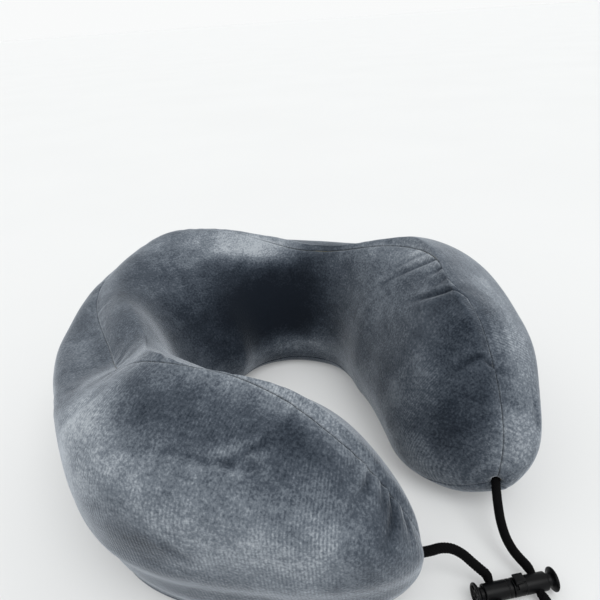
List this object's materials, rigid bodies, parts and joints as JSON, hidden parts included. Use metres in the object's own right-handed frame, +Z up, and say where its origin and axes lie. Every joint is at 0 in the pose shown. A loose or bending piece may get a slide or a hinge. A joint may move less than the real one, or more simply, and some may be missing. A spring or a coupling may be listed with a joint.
{
  "type": "u shaped neck pillow",
  "caption": "U shaped foam travel neck pillow in a zipped velour cover, closed at the front by two cords and a snap buckle with sprung cord locks.",
  "frame": {"origin": "on the surface it rests on, under the middle of the pillow's plan", "axes": "+Z up, +Y towards the nape, -Y towards the open mouth and the buckle, +X across"},
  "size_m": [0.2928, 0.3494, 0.1194],
  "materials": {
    "slate_velour": "matte",
    "memory_foam": "matte",
    "zip_tape": "matte",
    "zip_coil": "satin",
    "zip_metal": "satin",
    "cord_braid": "matte",
    "buckle_plastic": "satin",
    "spring_steel": "satin"
  },
  "bodies": {
    "pillow": {"foam_core": "memory_foam", "top_inner_panel": "slate_velour", "outer_side_panel": "slate_velour", "bottom_panel": "slate_velour", "zip_tape_upper": "zip_tape", "zip_tape_lower": "zip_tape", "zip_coil_upper": "zip_coil", "zip_coil_lower": "zip_coil", "zip_top_stop": "zip_metal", "zip_end_stop": "zip_metal", "left_cord": "cord_braid", "right_cord": "cord_braid", "left_cord_knot": "cord_braid", "left_housing": "buckle_plastic", "left_spring": "spring_steel"},
    "left_button": {"left_button": "buckle_plastic"},
    "right_half": {"right_housing": "buckle_plastic", "right_spring": "spring_steel", "right_cord_knot": "cord_braid"},
    "right_button": {"right_button": "buckle_plastic"},
    "latch": {"latch_button": "buckle_plastic"},
    "slider": {"zip_slider": "zip_metal"},
    "pull": {"zip_pull": "zip_metal"}
  },
  "joints": [
    {"name": "left_button_press", "type": "slide", "parent": "pillow", "child": "left_button", "axis": [0.8508, -0.5255, 0], "range_m": [0, 0.002], "stiffness_N_per_m": 350, "springref_m": -0.004, "deforming": ["left_spring"]},
    {"name": "buckle_release", "type": "slide", "parent": "pillow", "child": "right_half", "axis": [0.8508, -0.5255, 0], "range_m": [0, 0.008], "deforming": ["right_cord"]},
    {"name": "right_button_press", "type": "slide", "parent": "right_half", "child": "right_button", "axis": [-0.8508, 0.5255, 0], "range_m": [0, 0.002], "stiffness_N_per_m": 350, "springref_m": -0.004, "deforming": ["right_spring"]},
    {"name": "latch_press", "type": "slide", "parent": "right_half", "child": "latch", "axis": [0, 0, -1], "range_m": [0, 0.0013]},
    {"name": "zip_open", "type": "hinge", "parent": "pillow", "child": "slider", "pos_m": [0, 0.01792, 0.0205], "axis": [0, 0, 1], "range_deg": [0, 97]},
    {"name": "zip_pull_flip", "type": "hinge", "parent": "slider", "child": "pull", "pos_m": [0.09335, 0.10265, 0.01992], "axis": [-0.1502, -0.1325, -0.9797], "range_deg": [0, 165]}
  ],
  "couplings": [
    {"joint": "latch_press", "follows": "buckle_release", "ratio": 0.1625}
  ]
}
